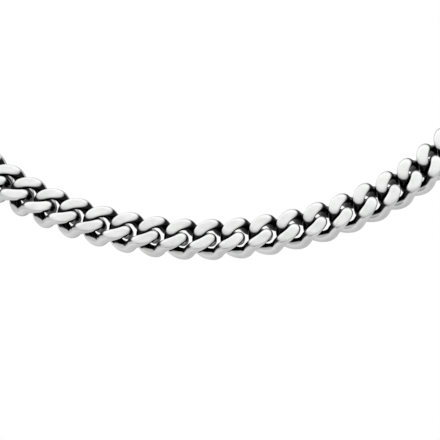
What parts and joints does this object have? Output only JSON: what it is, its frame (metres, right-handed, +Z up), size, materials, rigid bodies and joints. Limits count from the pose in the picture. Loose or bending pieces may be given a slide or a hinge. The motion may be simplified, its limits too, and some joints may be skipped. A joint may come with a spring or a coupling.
{
  "type": "curb chain necklace",
  "caption": "Closed necklace of twisted, flat-filed curb links in polished silver metal, hanging as worn, with a plain clasp at the nape.",
  "frame": {"origin": "inner edge of the clasp's middle, where the nape of the neck carries the loop", "axes": "+Z up, the low front of the necklace faces -Y, +X to the right seen from the front"},
  "size_m": [0.1282, 0.1226, 0.1558],
  "materials": {
    "silver": "polished"
  },
  "bodies": {
    "root": {"chain_right": "silver", "chain_left": "silver", "clasp": "silver"}
  },
  "joints": []
}
